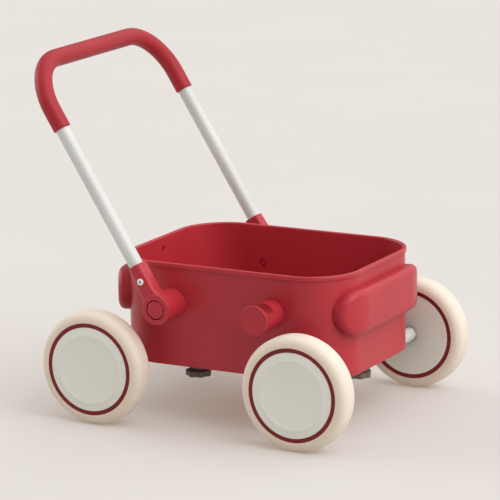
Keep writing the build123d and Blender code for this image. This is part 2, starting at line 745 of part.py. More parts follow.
# Each arm is a round head and a socket for the tube. The head turns on the hub's spigot, and its
# outer face has the well of the press button.
for side_name, side in SIDES:
    with BuildPart() as arm:
        # Neck: a flared plate between head and socket
        with BuildSketch(arm_plane(side, handle_half_width - socket_width / 2)) as neck_outline:
            Circle(hub_radius)
            with Locations((0, socket_start / 2)):
                Rectangle(socket_width, socket_start)
            necks = neck_outline.vertices().filter_by(
                lambda v: hub_radius / 2 < v.Y < socket_start - seat_gap
            )
            fillet(necks, radius=neck_round)
        extrude(amount=socket_width, dir=(0, side, 0))
        neck_faces = arm.faces().filter_by(Axis.Y).sort_by(lambda f: abs(f.center().Y))
        fillet(neck_faces[-1].edges().filter_by(lambda e: not on_socket(e, socket_start)),
               radius=neck_front_round)
        neck_faces = arm.faces().filter_by(Axis.Y).sort_by(lambda f: abs(f.center().Y))
        fillet(neck_faces[0].edges().filter_by(lambda e: not on_socket(e, socket_start)),
               radius=neck_back_round)
        # Socket, which turns from the neck's section to a nearly half-round one at the mouth
        for at, front_round, back_round in (
            (socket_start, neck_front_round, neck_back_round),
            (arm_length, socket_front_round, socket_back_round),
        ):
            with BuildSketch(socket_plane(at)) as section:
                with Locations((side * handle_half_width, 0)):
                    Rectangle(socket_width, socket_width)
                corners = section.vertices().sort_by(lambda v: abs(v.X))
                fillet(corners[2:], radius=front_round)
                corners = section.vertices().sort_by(lambda v: abs(v.X))
                fillet(corners[:2], radius=back_round)
        loft()
        # Head
        with BuildSketch(axle_plane(pivot_x, pivot_z, side)) as head_section:
            with Locations((handle_half_width, hub_radius / 2)):
                Rectangle(arm_thickness, hub_radius)
            fillet(head_section.vertices().group_by(Axis.Y)[-1], radius=head_edge_round)
        revolve(axis=cross_axis(pivot_x, pivot_z))
        # Socket of the tube
        with BuildSketch(socket_plane(arm_length)):
            with Locations((side * handle_half_width, 0)):
                Circle(tube_radius + seat_gap)
        extrude(amount=-socket_depth, mode=Mode.SUBTRACT)
        # Bearing on the spigot, well of the button and the lip that keeps the button in
        for start_y, end_y, radius in (
            (arm_inner_y, well_floor_y, spigot_radius + running_gap),
            (well_floor_y, lip_y, button_flange_radius + face_gap),
            (lip_y, arm_outer_y, button_radius + button_gap),
        ):
            with BuildSketch(arm_plane(side, start_y)):
                Circle(radius)
            extrude(amount=end_y - start_y, dir=(0, side, 0), mode=Mode.SUBTRACT)
        # Hole of the clamp screw and the recess of its head
        with BuildSketch(arm_plane(side, handle_half_width)):
            with Locations((0, clamp_screw_at)):
                Circle(clamp_screw_radius + seat_gap)
        extrude(amount=arm_thickness, dir=(0, side, 0), mode=Mode.SUBTRACT)
        with BuildSketch(arm_plane(side, socket_outer_y - clamp_head_recess)):
            with Locations((0, clamp_screw_at)):
                Circle(clamp_head_radius + seat_gap)
        extrude(amount=arm_thickness, dir=(0, side, 0), mode=Mode.SUBTRACT)
    arm.part.label = f"handle_arm_{side_name}"
    export_step(arm.part, f"parts/handle_arm_{side_name}.step")

    with BuildPart() as clamp_screw:
        with BuildSketch(arm_plane(side, socket_outer_y - clamp_head_recess)):
            with Locations((0, clamp_screw_at)):
                Circle(clamp_head_radius)
        extrude(amount=clamp_head_recess + clamp_head_proud, dir=(0, side, 0))
        head_face = clamp_screw.faces().sort_by(Axis.Y)[-1 if side > 0 else 0]
        fillet(head_face.edges(), radius=clamp_head_proud)
        with BuildSketch(arm_plane(side, socket_outer_y + clamp_head_proud)):
            with Locations((0, clamp_screw_at)):
                RegularPolygon(clamp_socket_radius, 6)
        extrude(amount=clamp_head_recess, dir=(0, -side, 0), mode=Mode.SUBTRACT)
        with BuildSketch(arm_plane(side, socket_outer_y - clamp_head_recess)):
            with Locations((0, clamp_screw_at)):
                Circle(clamp_screw_radius)
        extrude(amount=clamp_screw_length, dir=(0, -side, 0))
    clamp_screw.part.label = f"clamp_screw_{side_name}"
    export_step(clamp_screw.part, f"parts/clamp_screw_{side_name}.step")

    with BuildPart() as button:
        with BuildSketch(axle_plane(pivot_x, pivot_z, side)):
            with BuildLine():
                Polyline(
                    (button_face_y, 0),
                    (button_face_y, button_radius - button_edge),
                    (button_face_y - button_edge, button_radius),
                    (lip_y - face_gap / 2, button_radius),
                    (lip_y - face_gap / 2, button_flange_radius),
                    (lip_y - face_gap / 2 - button_flange, button_flange_radius),
                    (lip_y - face_gap / 2 - button_flange, button_radius),
                    (button_face_y - button_depth, button_radius),
                    (button_face_y - button_depth, button_radius - button_wall),
                    (button_face_y - button_wall, button_radius - button_wall),
                    (button_face_y - button_wall, 0),
                    close=True,
                )
            make_face()
        revolve(axis=cross_axis(pivot_x, pivot_z))
    button.part.label = f"release_button_{side_name}"
    export_step(button.part, f"parts/release_button_{side_name}.step")

    spring_length = button_face_y - button_wall - washer_top_y - 2 * spring_wire
    with BuildPart() as spring:
        with BuildLine() as coil:
            Helix(
                pitch=spring_length / spring_turns,
                height=spring_length,
                radius=spring_radius,
                center=(pivot_x, side * (washer_top_y + spring_wire), pivot_z),
                direction=(0, side, 0),
            )
        with BuildSketch(Plane(origin=coil.line @ 0, z_dir=coil.line % 0)):
            Circle(spring_wire)
        sweep(is_frenet=True)
    spring.part.label = f"button_spring_{side_name}"
    export_step(spring.part, f"parts/button_spring_{side_name}.step")

# ---------------------------------------------------------------- wheels
# Half sections are drawn with x as the distance from the mid-plane and y as the radius.
web_start_y = wheel_inner_y + (wheel_width - web_thickness) / 2
web_end_y = web_start_y + web_thickness
bush_end_y = wheel_outer_y - bush_inset
bush_start_y = tube_end_y + face_gap
bush_flange_radius = inner_tube_radius + bush_bearing
cover_radius = rim_radius - rim_lip - seat_gap
skirt_radius = cover_radius - rim_shell / 2

for corner, axle_x, side in CORNERS:
    section = axle_plane(axle_x, axle_z, side)
    axle = cross_axis(axle_x, axle_z)

    with BuildPart() as tyre:
        with BuildSketch(section) as tyre_section:
            with Locations(((wheel_inner_y + wheel_outer_y) / 2, (rim_radius + wheel_radius) / 2)):
                Rectangle(wheel_width, wheel_radius - rim_radius)
            fillet(tyre_section.vertices().group_by(Axis.Y)[-1], radius=tyre_shoulder)
        revolve(axis=axle)
    tyre.part.label = f"tyre_{corner}"
    export_step(tyre.part, f"parts/tyre_{corner}.step")

    with BuildPart() as rim:
        with BuildSketch(section):
            with BuildLine():
                Polyline(
                    (wheel_inner_y, rim_radius),
                    (wheel_outer_y, rim_radius),
                    (wheel_outer_y, rim_radius - rim_lip),
                    (wheel_outer_y - cover_skirt, rim_radius - rim_lip),
                    (wheel_outer_y - cover_skirt, rim_radius - rim_lip - rim_shell),
                    (web_end_y, rim_radius - rim_lip - rim_shell),
                    (web_end_y, wheel_hub_radius),
                    (bush_end_y, wheel_hub_radius),
                    (bush_end_y, bush_radius + seat_gap),
                    (bush_start_y + bush_flange, bush_radius + seat_gap),
                    (bush_start_y + bush_flange, wheel_hub_radius),
                    (web_start_y, wheel_hub_radius),
                    (web_start_y, rim_radius - rim_lip - rim_shell),
                    (wheel_inner_y + cover_skirt, rim_radius - rim_lip - rim_shell),
                    (wheel_inner_y + cover_skirt, rim_radius - rim_lip),
                    (wheel_inner_y, rim_radius - rim_lip),
                    close=True,
                )
            make_face()
        revolve(axis=axle)
    rim.part.label = f"rim_{corner}"
    export_step(rim.part, f"parts/rim_{corner}.step")

    # The outer cover rises to a crest and then falls into a shallow dish.
    with BuildPart() as outer_cover:
        with BuildSketch(section):
            with BuildLine():
                Polyline(
                    (wheel_outer_y - cover_dish - cover_thickness, 0),
                    (wheel_outer_y - cover_dish, 0),
                )
                ThreePointArc(
                    (wheel_outer_y - cover_dish, 0),
                    (wheel_outer_y - cover_dish_flat, cover_dish_radius / 2),
                    (wheel_outer_y - cover_dish_edge, cover_dish_radius),
                )
                Polyline(
                    (wheel_outer_y - cover_dish_edge, cover_dish_radius),
                    (wheel_outer_y + cover_crest, cover_crest_radius),
                    (wheel_outer_y, cover_radius),
                    (wheel_outer_y - cover_skirt, cover_radius),
                    (wheel_outer_y - cover_skirt, skirt_radius),
                    (wheel_outer_y - cover_dish - cover_thickness, skirt_radius),
                    (wheel_outer_y - cover_dish - cover_thickness, 0),
                )
            make_face()
        revolve(axis=axle)
    outer_cover.part.label = f"outer_cover_{corner}"
    export_step(outer_cover.part, f"parts/outer_cover_{corner}.step")

    with BuildPart() as inner_cover:
        with BuildSketch(section):
            with BuildLine():
                Polyline(
                    (wheel_inner_y + cover_thickness, tube_radius + cover_gap),
                    (wheel_inner_y, tube_radius + cover_gap),
                    (wheel_inner_y, cover_radius),
                    (wheel_inner_y + cover_skirt, cover_radius),
                    (wheel_inner_y + cover_skirt, skirt_radius),
                    (wheel_inner_y + cover_thickness, skirt_radius),
                    close=True,
                )
            make_face()
        revolve(axis=axle)
    inner_cover.part.label = f"inner_cover_{corner}"
    export_step(inner_cover.part, f"parts/inner_cover_{corner}.step")

    with BuildPart() as bush:
        with BuildSketch(section):
            with BuildLine():
                Polyline(
                    (bush_start_y, axle_radius + running_gap),
                    (bush_start_y, bush_flange_radius),
                    (bush_start_y + bush_flange, bush_flange_radius),
                    (bush_start_y + bush_flange, bush_radius),
                    (bush_end_y, bush_radius),
                    (bush_end_y, axle_radius + running_gap),
                    close=True,
                )
            make_face()
        revolve(axis=axle)
    bush.part.label = f"wheel_bush_{corner}"
    export_step(bush.part, f"parts/wheel_bush_{corner}.step")

# Plugs in the tube ends hold the axle pins, and each pin's head keeps its wheel on.
for place, axle_x in (("front", front_axle_x), ("rear", rear_axle_x)):
    with BuildPart() as tube_plugs:
        for _, side in SIDES:
            with BuildSketch(side_plane(side, tube_end_y)):
                with Locations((axle_x, axle_z)):
                    Circle(inner_tube_radius - seat_gap)
                    Circle(axle_radius + seat_gap, mode=Mode.SUBTRACT)
            extrude(amount=plug_length, dir=(0, -side, 0))
    tube_plugs.part.label = f"{place}_tube_plugs"
    export_step(tube_plugs.part, f"parts/{place}_tube_plugs.step")

    with BuildPart() as axle_pins:
        for _, side in SIDES:
            with BuildSketch(side_plane(side, bush_end_y + face_gap)):
                with Locations((axle_x, axle_z)):
                    Circle(axle_radius)
            extrude(amount=bush_end_y + face_gap - tube_end_y + plug_length, dir=(0, -side, 0))
            with BuildSketch(side_plane(side, bush_end_y + face_gap)):
                with Locations((axle_x, axle_z)):
                    Circle(axle_head_radius)
            extrude(amount=axle_head, dir=(0, side, 0))
    axle_pins.part.label = f"{place}_axle_pins"
    export_step(axle_pins.part, f"parts/{place}_axle_pins.step")
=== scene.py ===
import bpy
import bmesh
from math import asin, cos, hypot, pi, radians, sin, sqrt, tan
from mathutils import Matrix, Vector


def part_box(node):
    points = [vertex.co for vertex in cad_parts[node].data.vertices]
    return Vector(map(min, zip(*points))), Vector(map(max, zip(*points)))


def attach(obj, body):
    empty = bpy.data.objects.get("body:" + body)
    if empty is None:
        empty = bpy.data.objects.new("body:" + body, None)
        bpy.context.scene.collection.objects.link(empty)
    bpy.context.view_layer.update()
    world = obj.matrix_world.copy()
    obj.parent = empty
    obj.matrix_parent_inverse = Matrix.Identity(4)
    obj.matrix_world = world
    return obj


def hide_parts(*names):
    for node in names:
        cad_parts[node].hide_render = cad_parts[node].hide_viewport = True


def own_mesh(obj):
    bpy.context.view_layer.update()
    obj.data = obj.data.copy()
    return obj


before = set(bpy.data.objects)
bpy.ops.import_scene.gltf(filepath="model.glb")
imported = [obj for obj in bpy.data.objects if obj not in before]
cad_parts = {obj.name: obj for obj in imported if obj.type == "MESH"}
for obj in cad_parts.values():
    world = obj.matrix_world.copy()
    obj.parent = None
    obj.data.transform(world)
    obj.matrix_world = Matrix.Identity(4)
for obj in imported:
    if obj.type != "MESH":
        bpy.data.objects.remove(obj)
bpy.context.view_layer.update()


# ------------------------------------------------------------------ tub
# One moulding in red plastic: straight walls with wide round corners, a bead round the rim and a
# raised floor. It starts as a block for the bead, and its walls are drawn down and in from that.
def alone(piece):
    bpy.ops.object.select_all(action="DESELECT")
    piece.select_set(True)
    bpy.context.view_layer.objects.active = piece


def added(name):
    """Name the primitive that was just added, and settle its place into its mesh."""
    piece = bpy.context.object
    piece.name = piece.data.name = name
    bpy.ops.object.transform_apply(location=True, rotation=True, scale=True)
    return piece


def shape(piece):
    """Open a piece for modelling."""
    alone(piece)
    bpy.ops.object.mode_set(mode="EDIT")


def done():
    bpy.ops.object.mode_set(mode="OBJECT")


def pick(kind, test):
    """Select the faces, edges or points of the open piece for which the test holds."""
    bpy.ops.mesh.select_mode(type=kind)
    bpy.ops.mesh.select_all(action="DESELECT")
    mesh = bmesh.from_edit_mesh(bpy.context.object.data)
    for part in {"FACE": mesh.faces, "EDGE": mesh.edges, "VERT": mesh.verts}[kind]:
        if test(part):
            part.select_set(True)
    bmesh.update_edit_mesh(bpy.context.object.data)


def same(a, b):
    """Whether two measures agree to a fiftieth of a millimetre."""
    return abs(a - b) < 0.00002


def faces_at(height):
    """Test for level faces at a height."""
    return lambda f: same(f.calc_center_median().z, height) and abs(f.normal.z) > 0.99


def edges_at(*heights):
    """Test for edges that lie level at one of the heights."""
    return lambda e: any(all(same(v.co.z, height) for v in e.verts) for height in heights)


def draw(*steps):
    """Step the picked face in by the first length and up by the second, again and again."""
    for inward, up in steps:
        if inward:
            bpy.ops.mesh.inset(thickness=inward, depth=0)
        if up:
            bpy.ops.mesh.extrude_region_move(TRANSFORM_OT_translate={"value": (0, 0, up)})


def round_off(offset, segments):
    bpy.ops.mesh.bevel(offset=offset, segments=segments, affect="EDGES", profile=0.5)


def combine(piece, tool, how="DIFFERENCE"):
    """Cut a piece with a tool, or fuse the two, and take the tool away."""
    alone(piece)
    bpy.ops.object.modifier_add(type="BOOLEAN")
    step = piece.modifiers[-1]
    step.operation, step.object, step.solver = how, tool, "EXACT"
    bpy.ops.object.modifier_apply(modifier=step.name)
    bpy.data.objects.remove(tool)


def fused(pieces):
    """One solid out of several that cross each other."""
    first, *others = pieces
    for other in others:
        combine(first, other, "UNION")
    return first


def smooth(piece, angle=32):
    """Smooth shading that leaves crisp edges crisp and flat faces flat."""
    alone(piece)
    bpy.ops.object.shade_smooth_by_angle(angle=radians(angle))
    bpy.ops.object.modifier_add(type="WEIGHTED_NORMAL")
    piece.modifiers[-1].keep_sharp = True
    bpy.ops.object.modifier_apply(modifier=piece.modifiers[-1].name)


def block(name, low_corner, high_corner):
    middle = [(a + b) / 2 for a, b in zip(low_corner, high_corner)]
    bpy.ops.mesh.primitive_cube_add(size=1, location=middle)
    bpy.context.object.scale = [b - a for a, b in zip(low_corner, high_corner)]
    return added(name)


def rod(name, start, end, radius, sides=48):
    """Round bar between two points."""
    start, end = Vector(start), Vector(end)
    turn = (end - start).to_track_quat("Z", "Y").to_euler()
    bpy.ops.mesh.primitive_cylinder_add(
        vertices=sides, radius=radius, depth=(end - start).length,
        location=(start + end) / 2, rotation=turn,
    )
    return added(name)


tub_low, tub_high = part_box("bucket")
tub_x = (tub_low.x + tub_high.x) / 2
rim_z, foot_z, floor_z, floor_bottom_z = tub_high.z, tub_low.z, 0.100, 0.096
bead, bead_height, wall, corner, draft = 0.0018, 0.006, 0.0042, 0.0662, 0.0012
rim_round, bead_round, bead_fillet, floor_round, foot_round = 0.0020, 0.0009, 0.0008, 0.009, 0.0007
bead_z = rim_z - bead_height
tub_half_length, tub_half_width = tub_high.x - tub_x - bead, tub_high.y - bead


def out_of_wall(point):
    """How far a point stands out of the tub's wall, in plan."""
    along = max(0.0, abs(point.x - tub_x) - tub_half_length + corner)
    across = max(0.0, abs(point.y) - tub_half_width + corner)
    return hypot(along, across) - corner


tub = block("tub_shell", (tub_low.x, tub_low.y, bead_z), (tub_high.x, tub_high.y, rim_z))
shape(tub)
pick("EDGE", lambda e: not same(e.verts[0].co.z, e.verts[1].co.z))
round_off(corner + bead, 28)
pick("FACE", faces_at(bead_z))
draw((bead, foot_z - bead_z), (wall, floor_bottom_z - foot_z))
pick("FACE", faces_at(rim_z))
bpy.ops.mesh.inset(thickness=bead + wall, depth=0)
bpy.ops.mesh.inset(thickness=draft, depth=floor_z - rim_z)
pick("EDGE", edges_at(rim_z))
round_off(rim_round, 5)
pick("EDGE", edges_at(floor_z))
round_off(floor_round, 8)
pick("EDGE", lambda e: edges_at(bead_z)(e) and all(out_of_wall(v.co) > bead / 2 for v in e.verts))
round_off(bead_round, 4)
pick("EDGE", lambda e: edges_at(bead_z)(e) and all(same(out_of_wall(v.co), 0) for v in e.verts))
round_off(bead_fillet, 4)
pick("EDGE", edges_at(foot_z))
round_off(foot_round, 2)
done()

# Ribs and bosses under the floor, with round seats for the axle tubes
axle_z, tube_radius = 0.075, 0.0095
front_axle_x = (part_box("front_axle_tube")[0].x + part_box("front_axle_tube")[1].x) / 2
rear_axle_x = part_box("rear_axle_frame")[0].x + tube_radius
knobs = {}
for knob in ("front", "left", "right"):
    low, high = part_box("knob_stud_" + knob)
    knobs[knob] = ((low.x + high.x) / 2, (low.y + high.y) / 2)
arm_x, arm_y = knobs["left"]
rib_half, rib_reach, rib_spacing, knob_rib_reach, boss_radius = 0.0015, 0.020, 0.036, 0.022, 0.011
rib_low, rib_high = foot_z + 0.0002, floor_bottom_z + 0.001
ribs = []
for middle_x in (front_axle_x, rear_axle_x + rib_reach):
    for row in range(6):
        y = (row - 2.5) * rib_spacing
        into_corner = max(0.0, abs(y) - (tub_half_width - corner))
        reach = tub_half_length - corner + sqrt((corner - wall / 2) ** 2 - into_corner**2)
        ribs.append((
            max(middle_x - rib_reach, tub_x - reach), min(middle_x + rib_reach, tub_x + reach),
            y - rib_half, y + rib_half,
        ))
for x, y in knobs.values():
    ribs.append((x - knob_rib_reach, x + knob_rib_reach, y - rib_half, y + rib_half))
    ribs.append((x - rib_half, x + rib_half, y - knob_rib_reach, y + knob_rib_reach))
end_rib_x = arm_x - 0.045
for y in (-arm_y, arm_y):
    ribs.append((
        end_rib_x - rib_half, end_rib_x + rib_half, y - knob_rib_reach, y + knob_rib_reach,
    ))
underside = [block("rib", (x0, y0, rib_low), (x1, y1, rib_high)) for x0, x1, y0, y1 in ribs]
for x, y in knobs.values():
    underside.append(rod("boss", (x, y, rib_low), (x, y, rib_high), boss_radius, 40))
combine(tub, fused(underside), "UNION")

seat_radius, past_wall = tube_radius + 0.0002, 0.15
seats = [((x, -past_wall, axle_z), (x, past_wall, axle_z)) for x in (front_axle_x, rear_axle_x)]
seats += [((rear_axle_x, y, axle_z), (arm_x + 0.020, y, axle_z)) for y in (-arm_y, arm_y)]
for start, end in seats:
    combine(tub, rod("seat", start, end, seat_radius))

# Recessed holes for the pivot bolts and peg screws, the bumper screws and the plug
peg_low, peg_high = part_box("peg_right")
peg_x, peg_z = (peg_low.x + peg_high.x) / 2, 0.1615
hub_low, hub_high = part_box("pivot_hub_right")
pivot_x, pivot_z = (hub_low.x + hub_high.x) / 2, (hub_low.z + hub_high.z) / 2
wall_inside_x = tub_half_length - wall
screw_places = ((0.0, 0.1765), (0.045, 0.14655), (-0.045, 0.14655))
head_hole, bumper_hole, bumper_hole_depth = 0.0053, 0.0025, 0.0022
for x, z in ((pivot_x, pivot_z), (peg_x, peg_z)):
    combine(tub, rod("hole", (x, -past_wall, z), (x, past_wall, z), head_hole, 40))
for y, z in screw_places:
    reach = wall_inside_x + bumper_hole_depth
    combine(tub, rod("hole", (tub_x - reach, y, z), (tub_x + reach, y, z), bumper_hole, 24))
plug_low, plug_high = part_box("wall_plug")
plug_y, plug_z = (plug_low.y + plug_high.y) / 2, (plug_low.z + plug_high.z) / 2
plug_seat_x, plug_hole, plug_hole_end_x = tub_x - wall_inside_x - 0.002, 0.0037, tub_x - 0.1
combine(tub, rod(
    "hole", (plug_seat_x, plug_y, plug_z), (plug_hole_end_x, plug_y, plug_z), plug_hole, 32))
smooth(tub)


# Satin moulded plastic: a very fine spark-eroded grain, slow changes of tone and of polish.
def nodes_of(name):
    finish = bpy.data.materials.new(name)
    finish.use_nodes = True
    tree = finish.node_tree
    place = tree.nodes.new("ShaderNodeTexCoord").outputs["Object"]
    return finish, tree, tree.nodes["Principled BSDF"], place


def noise(tree, place, scale, detail):
    pattern = tree.nodes.new("ShaderNodeTexNoise")
    pattern.inputs["Scale"].default_value = scale
    pattern.inputs["Detail"].default_value = detail
    pattern.inputs["Roughness"].default_value = 0.5
    tree.links.new(place, pattern.inputs["Vector"])
    return pattern.outputs["Fac"]


def tones(tree, amount, *stops):
    """Colours along a pattern, each as (where, red, green, blue)."""
    ramp = tree.nodes.new("ShaderNodeValToRGB")
    ramp.color_ramp.interpolation = "EASE"
    while len(ramp.color_ramp.elements) < len(stops):
        ramp.color_ramp.elements.new(0.5)
    for stop, (where, *colour) in zip(ramp.color_ramp.elements, stops):
        stop.position, stop.color = where, (*colour, 1)
    tree.links.new(amount, ramp.inputs["Fac"])
    return ramp.outputs["Color"]


def spread(tree, amount, low, high):
    """Turns a pattern into numbers from low to high."""
    scale = tree.nodes.new("ShaderNodeMapRange")
    scale.inputs["From Min"].default_value, scale.inputs["From Max"].default_value = 0.3, 0.7
    scale.inputs["To Min"].default_value, scale.inputs["To Max"].default_value = low, high
    tree.links.new(amount, scale.inputs["Value"])
    return scale.outputs["Result"]


def relief(tree, shader, amount, depth):
    bump = tree.nodes.new("ShaderNodeBump")
    bump.inputs["Strength"].default_value = 1.0
    bump.inputs["Distance"].default_value = depth
    tree.links.new(amount, bump.inputs["Height"])
    tree.links.new(bump.outputs["Normal"], shader.inputs["Normal"])


def grained(name, dark, light, tone, polish, low, high, grain, depth):
    """Finish whose tone, polish and relief follow noises, each given by scale and detail."""
    finish, tree, shader, place = nodes_of(name)
    tree.links.new(
        tones(tree, noise(tree, place, *tone), (0.35, *dark), (0.65, *light)),
        shader.inputs["Base Color"],
    )
    tree.links.new(
        spread(tree, noise(tree, place, *polish), low, high), shader.inputs["Roughness"])
    relief(tree, shader, noise(tree, place, grain, 2.0), depth)
    return finish, shader


def moulded(name, dark, light, rough, grain=1400.0, depth=0.00002, specular=0.45):
    finish, shader = grained(
        name, dark, light, (9.0, 4.0), (60.0, 5.0), rough - 0.03, rough + 0.04, grain, depth)
    shader.inputs["Specular IOR Level"].default_value = specular
    return finish


def dress(piece, finish, body, slot, *nodes):
    """Give a piece its finish, the body it moves with and the nodes it stands for."""
    piece.data.materials.clear()
    piece.data.materials.append(finish)
    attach(piece, body)
    if nodes:
        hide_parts(*nodes)


red = moulded("red_shell_plastic", (0.40, 0.025, 0.036), (0.43, 0.029, 0.041), 0.34, specular=0.30)
dress(tub, red, "body", "red_plastic", "bucket")

# ------------------------------------------------------------------ plug and screws in the tub
# A small push-in plug high in the rear wall, and three screws in each end wall that hold the
# bumpers. Their heads sit below the wall's inner face.
plug_radius, plug_length = 0.0036, 0.0018
plug_top_x = plug_seat_x + plug_length
plug = rod(
    "rear_wall_plug", (plug_seat_x, plug_y, plug_z), (plug_top_x, plug_y, plug_z), plug_radius, 32)
shape(plug)
pick("EDGE", lambda e: all(same(v.co.x, plug_top_x) for v in e.verts))
round_off(0.0006, 3)
done()
smooth(plug)
# The plug gets the rims' dark red, which paints the shade of the shallow hole that it fills.
dark_red = moulded(
    "dark_red_ring_plastic", (0.168, 0.010, 0.016), (0.190, 0.012, 0.018), 0.42, specular=0.25)
dress(plug, dark_red, "body", "dark_plastic", "wall_plug")


def disc(name, radius, low, high, sides, x=0.0, y=0.0):
    """Upright round bar between two heights."""
    bpy.ops.mesh.primitive_cylinder_add(
        vertices=sides, radius=radius, depth=high - low, location=(x, y, (low + high) / 2))
    return added(name)


def placed(piece, location, rotation=(0, 0, 0)):
    """Turn and move a piece, and settle that into its mesh."""
    piece.location, piece.rotation_euler = location, rotation
    alone(piece)
    bpy.ops.object.transform_apply(location=True, rotation=True, scale=True)


def joined(name, pieces):
    """One piece out of several that stay separate shells."""
    bpy.ops.object.select_all(action="DESELECT")
    for piece in pieces:
        piece.select_set(True)
    whole = pieces[0]
    bpy.context.view_layer.objects.active = whole
    bpy.ops.object.join()
    whole.name = whole.data.name = name
    return whole


def screw(name, head_face, direction, head_radius, head_length, shank_radius, shank_length, drive):
    """Cap screw: a round head with a six-sided drive, and a plain shank."""
    piece = disc(name, head_radius, -head_length, 0.0, 36)
    shape(piece)
    pick("EDGE", edges_at(0.0))
    round_off(head_radius * 0.14, 3)
    pick("FACE", faces_at(-head_length))
    draw((head_radius - shank_radius, -shank_length))
    done()
    combine(piece, disc("drive", drive, -head_length / 2, head_length / 2, 6))
    placed(piece, head_face, (-Vector(direction)).to_track_quat("Z", "Y").to_euler())
    smooth(piece)
    return piece


def metal(name, dark, light, rough):
    finish, shader = grained(
        name, dark, light, (220.0, 4.0), (900.0, 3.0), rough - 0.06, rough + 0.08, 2600.0, 0.000006)
    shader.inputs["Metallic"].default_value = 1.0
    return finish


steel = metal("zinc_plated_steel", (0.46, 0.46, 0.45), (0.60, 0.60, 0.58), 0.32)
head_x = wall_inside_x + 0.0003
bumper_screws = joined("bumper_screw_set", [
    screw(
        "bumper_screw", (tub_x + end * head_x, y, z), (end, 0, 0),
        head_radius=0.0024, head_length=0.0019, shank_radius=0.0016, shank_length=0.011,
        drive=0.0012,
    )
    for end in (1, -1) for y, z in screw_places
])
dress(bumper_screws, steel, "body", "steel", "bumper_screws")

# ------------------------------------------------------------------ bumpers
# A thick soft-edged pad across each end of the tub, with round ends that wrap the corners. It is
# modelled flat and upright, and then bent round the tub along its outer face.
bumper_low, bumper_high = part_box("front_bumper")
bumper_z = (bumper_low.z + bumper_high.z) / 2
pill = (bumper_high.z - bumper_low.z) / 2
gap, thick, pad_round = 0.0001, 0.0154, 0.0085
outer_bend, middle_bend = corner + gap + thick, corner + thick / 2
flat_half = tub_half_width - corner
pad_turn, bend_turn = radians(39.2), radians(48)
pill_at = flat_half + outer_bend * (pad_turn - asin(pill / middle_bend))
bend_length = outer_bend * bend_turn


def bent_path(end):
    """Plan line of a bumper's outer face, from its right end to its left end."""
    corner_x = tub_x + end * (tub_half_length - corner)
    corner_pull, flat_pull = 4 / 3 * tan(bend_turn / 4) * outer_bend, flat_half * 2 / 3
    bpy.ops.curve.primitive_bezier_curve_add(location=(0, 0, 0))
    path = bpy.context.object
    path.data.dimensions = "2D"
    path.data.resolution_u = 48
    line = path.data.splines[0]
    line.bezier_points.add(2)
    places = ((-1, True), (-1, False), (1, False), (1, True))
    for point, (side, turned) in zip(line.bezier_points, places):
        turn = bend_turn if turned else 0.0
        outward = Vector((end * cos(turn), side * sin(turn), 0))
        onward = Vector((-end * sin(turn), side * cos(turn), 0)) * side
        point.handle_left_type = point.handle_right_type = "FREE"
        point.co = Vector((corner_x, side * flat_half, 0)) + outward * outer_bend
        point.handle_left = point.co - onward * (corner_pull if turned or side < 0 else flat_pull)
        point.handle_right = point.co + onward * (corner_pull if turned or side > 0 else flat_pull)
    return path


def score(place, direction):
    """Cut the faces of the open piece along a plane, without parting it."""
    bpy.ops.mesh.select_all(action="SELECT")
    bpy.ops.mesh.bisect(plane_co=place, plane_no=direction)


def tightened():
    """Merge the doubled points of the open piece and turn its faces outward."""
    bpy.ops.mesh.select_all(action="SELECT")
    bpy.ops.mesh.remove_doubles(threshold=0.00001)
    bpy.ops.mesh.normals_make_consistent(inside=False)


for end, node in ((1, "front_bumper"), (-1, "rear_bumper")):
    # Flat pad: x runs along it, y is its thickness with the outer face at 0, z is up. A round bar
    # is pulled apart, and its topmost and lowest points stay in the middle.
    bpy.ops.mesh.primitive_cylinder_add(
        vertices=72, radius=pill, depth=thick, location=(0, end * thick / 2, bumper_z),
        rotation=(pi / 2, 0, 0),
    )
    pad = added(node + "_pad")
    shape(pad)
    for side in (1, -1):
        pick("VERT", lambda v: v.co.x * side > 0.00001)
        bpy.ops.transform.translate(value=(side * pill_at, 0, 0))
    pick("EDGE", lambda e: all(same(v.co.y, 0) for v in e.verts))
    round_off(pad_round, 9)
    # The bend shortens what lies towards the tub, so the round ends are stretched there first
    levels = sorted({round(abs(v.co.y), 6) for v in bmesh.from_edit_mesh(pad.data).verts})
    for side in (1, -1):
        for level in levels:
            bow = 0.5 * pill / (outer_bend - level)
            stretch = outer_bend / (outer_bend - level) * (1 + bow * bow * 2 / 3)
            pick("VERT", lambda v: v.co.x * side > pill_at and abs(abs(v.co.y) - level) < 0.000002)
            bpy.ops.transform.resize(value=(stretch, 1, 1), center_override=(side * pill_at, 0, 0))
    cuts, first_cut, cut_length, row_height = 34, flat_half - 0.002, bend_length + 0.001, 0.006
    for side in (1, -1):
        for i in range(cuts + 1):
            score((side * (first_cut + cut_length * i / cuts), 0, 0), (1, 0, 0))
    for row in (-2, -1, 0, 1, 2):
        score((0, 0, bumper_z + row_height * row), (0, 0, 1))
    bpy.ops.mesh.select_all(action="SELECT")
    bpy.ops.transform.translate(value=(flat_half + bend_length, 0, 0))
    done()
    path = bent_path(end)
    alone(pad)
    bpy.ops.object.modifier_add(type="CURVE")
    pad.modifiers[-1].object = path
    pad.modifiers[-1].deform_axis = "POS_X"
    bpy.ops.object.modifier_apply(modifier=pad.modifiers[-1].name)
    bpy.data.objects.remove(path)
    shape(pad)
    tightened()
    done()
    bpy.ops.object.shade_smooth_by_angle(angle=radians(40))
    dress(pad, red, "body", "red_plastic", node)

# ------------------------------------------------------------------ pivot hubs and their bolts
# A round red hub stands on each side wall and carries the handle's arm on a short spigot. A screw
# from inside the tub holds it, under a small red cap.
sides = (("left", 1), ("right", -1))
hub_radius, wall_side, hub_face, well_floor = 0.020, 0.1261, 0.147, 0.158
spigot_step, spigot_end, recess_step, recess_depth = 0.0112, well_floor + 0.0003, 0.0139, 0.0057
bolt_seat, bolt_head = 0.1263, 0.0055


